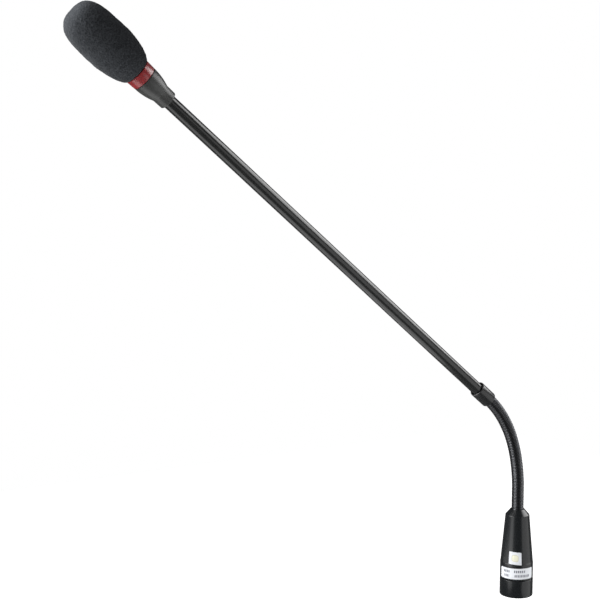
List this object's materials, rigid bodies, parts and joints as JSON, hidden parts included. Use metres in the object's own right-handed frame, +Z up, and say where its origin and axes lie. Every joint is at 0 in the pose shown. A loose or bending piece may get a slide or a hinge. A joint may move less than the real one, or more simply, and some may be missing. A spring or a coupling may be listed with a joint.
{
  "type": "gooseneck microphone",
  "caption": "Podium microphone on a bent gooseneck: screw-lock plug base with tapered barrel, flexible conduit, rigid stem, red light ring and removable foam windscreen.",
  "frame": {"origin": "on the plug's axis at the lock ring's bottom face, where the plug meets its panel socket", "axes": "+Z up along the plug and base; the stem leans towards -X in the XZ plane; +Y completes the frame"},
  "size_m": [0.3409, 0.0284, 0.3914],
  "materials": {
    "black_metal": "semi-gloss black",
    "black_gloss": "gloss black",
    "conduit_black": "satin black, ribbed",
    "head_grey": "satin dark grey",
    "red_lens": "translucent red, glossy",
    "foam": "open-cell foam, charcoal",
    "rubber": "matt",
    "nickel": "nickel plated",
    "gold_contact": "gold plated",
    "insulator": "matt black",
    "board_green": "solder mask",
    "chip_black": "moulded",
    "socket_white": "moulded",
    "cable_grey": "matt",
    "label_white": "printed film, satin",
    "emitter_clear": "clear",
    "felt": "felt"
  },
  "bodies": {
    "base": {"plug_shell": "nickel", "retaining_clip": "nickel", "contact_insert": "insulator", "contact_pin_1": "gold_contact", "contact_pin_2": "gold_contact", "contact_pin_3": "gold_contact", "contact_pin_4": "gold_contact", "contact_pin_5": "gold_contact", "seal_ring": "rubber", "base_barrel": "black_metal", "barrel_set_screw": "black_metal", "circuit_board": "board_green", "preamp_chip": "chip_black", "filter_capacitor_1": "nickel", "filter_capacitor_2": "nickel", "board_socket": "socket_white", "base_cable": "cable_grey", "conduit_ferrule": "nickel", "ferrule_nut": "nickel", "rating_label": "label_white", "square_label": "label_white", "conduit_stub": "conduit_black"},
    "lock_ring": {"lock_ring": "black_metal"},
    "link_01": {"conduit_link_01": "conduit_black"},
    "link_02": {"conduit_link_02": "conduit_black"},
    "link_03": {"conduit_link_03": "conduit_black"},
    "link_04": {"conduit_link_04": "conduit_black"},
    "link_05": {"conduit_link_05": "conduit_black"},
    "link_06": {"conduit_link_06": "conduit_black"},
    "link_07": {"conduit_link_07": "conduit_black"},
    "link_08": {"conduit_link_08": "conduit_black"},
    "link_09": {"conduit_link_09": "conduit_black"},
    "link_10": {"conduit_link_10": "conduit_black"},
    "link_11": {"conduit_link_11": "conduit_black"},
    "stem": {"conduit_top": "conduit_black", "collar": "black_metal", "collar_spigot": "nickel", "stem_tube": "black_gloss", "stem_cable": "cable_grey", "head_shell": "head_grey", "tube_nut": "nickel", "light_board": "board_green", "light_emitter_1": "emitter_clear", "light_emitter_2": "emitter_clear", "light_emitter_3": "emitter_clear", "light_emitter_4": "emitter_clear", "light_ring": "red_lens", "capsule_sleeve": "black_metal", "capsule": "nickel", "capsule_seat": "rubber", "capsule_retainer": "nickel", "felt_disc": "felt", "grille_cap": "black_metal", "capsule_lead": "cable_grey"},
    "windscreen": {"windscreen": "foam"}
  },
  "joints": [
    {"name": "conduit_sideways_1", "type": "hinge", "parent": "base", "child": "link_01", "pos_m": [0, 0, 0.07664], "axis": [1, 0, 0], "range_deg": [-15, 15]},
    {"name": "conduit_bend_1", "type": "hinge", "parent": "link_01", "child": "link_02", "pos_m": [0, 0, 0.08337], "axis": [0, -1, 0], "range_deg": [-23.44, 6.56]},
    {"name": "conduit_sideways_2", "type": "hinge", "parent": "link_02", "child": "link_03", "pos_m": [-0.00118, 0, 0.09132], "axis": [0.9892, 0, 0.1468], "range_deg": [-15, 15]},
    {"name": "conduit_bend_2", "type": "hinge", "parent": "link_03", "child": "link_04", "pos_m": [-0.00236, 0, 0.09926], "axis": [0, -1, 0], "range_deg": [-23.44, 6.56]},
    {"name": "conduit_sideways_3", "type": "hinge", "parent": "link_04", "child": "link_05", "pos_m": [-0.00425, 0, 0.10548], "axis": [0.9569, 0, 0.2904], "range_deg": [-15, 15]},
    {"name": "conduit_bend_3", "type": "hinge", "parent": "link_05", "child": "link_06", "pos_m": [-0.00613, 0, 0.1117], "axis": [0, -1, 0], "range_deg": [-23.44, 6.56]},
    {"name": "conduit_sideways_4", "type": "hinge", "parent": "link_06", "child": "link_07", "pos_m": [-0.00861, 0, 0.11693], "axis": [0.9039, 0, 0.4278], "range_deg": [-15, 15]},
    {"name": "conduit_bend_4", "type": "hinge", "parent": "link_07", "child": "link_08", "pos_m": [-0.01108, 0, 0.12215], "axis": [0, -1, 0], "range_deg": [-23.44, 6.56]},
    {"name": "conduit_sideways_5", "type": "hinge", "parent": "link_08", "child": "link_09", "pos_m": [-0.01403, 0, 0.12657], "axis": [0.8313, 0, 0.5558], "range_deg": [-15, 15]},
    {"name": "conduit_bend_5", "type": "hinge", "parent": "link_09", "child": "link_10", "pos_m": [-0.01699, 0, 0.13099], "axis": [0, -1, 0], "range_deg": [-23.44, 6.56]},
    {"name": "conduit_sideways_6", "type": "hinge", "parent": "link_10", "child": "link_11", "pos_m": [-0.02034, 0, 0.13469], "axis": [0.7407, 0, 0.6718], "range_deg": [-15, 15]},
    {"name": "conduit_bend_6", "type": "hinge", "parent": "link_11", "child": "stem", "pos_m": [-0.02369, 0, 0.13838], "axis": [0, -1, 0], "range_deg": [-23.44, 6.56]},
    {"name": "lock_ring_turn", "type": "hinge", "parent": "base", "child": "lock_ring", "pos_m": [0, 0, 0.006], "axis": [0, 0, 1], "continuous": true},
    {"name": "windscreen_pull", "type": "slide", "parent": "stem", "child": "windscreen", "axis": [-0.7733, 0, 0.6341], "range_m": [0, 0.045]}
  ]
}
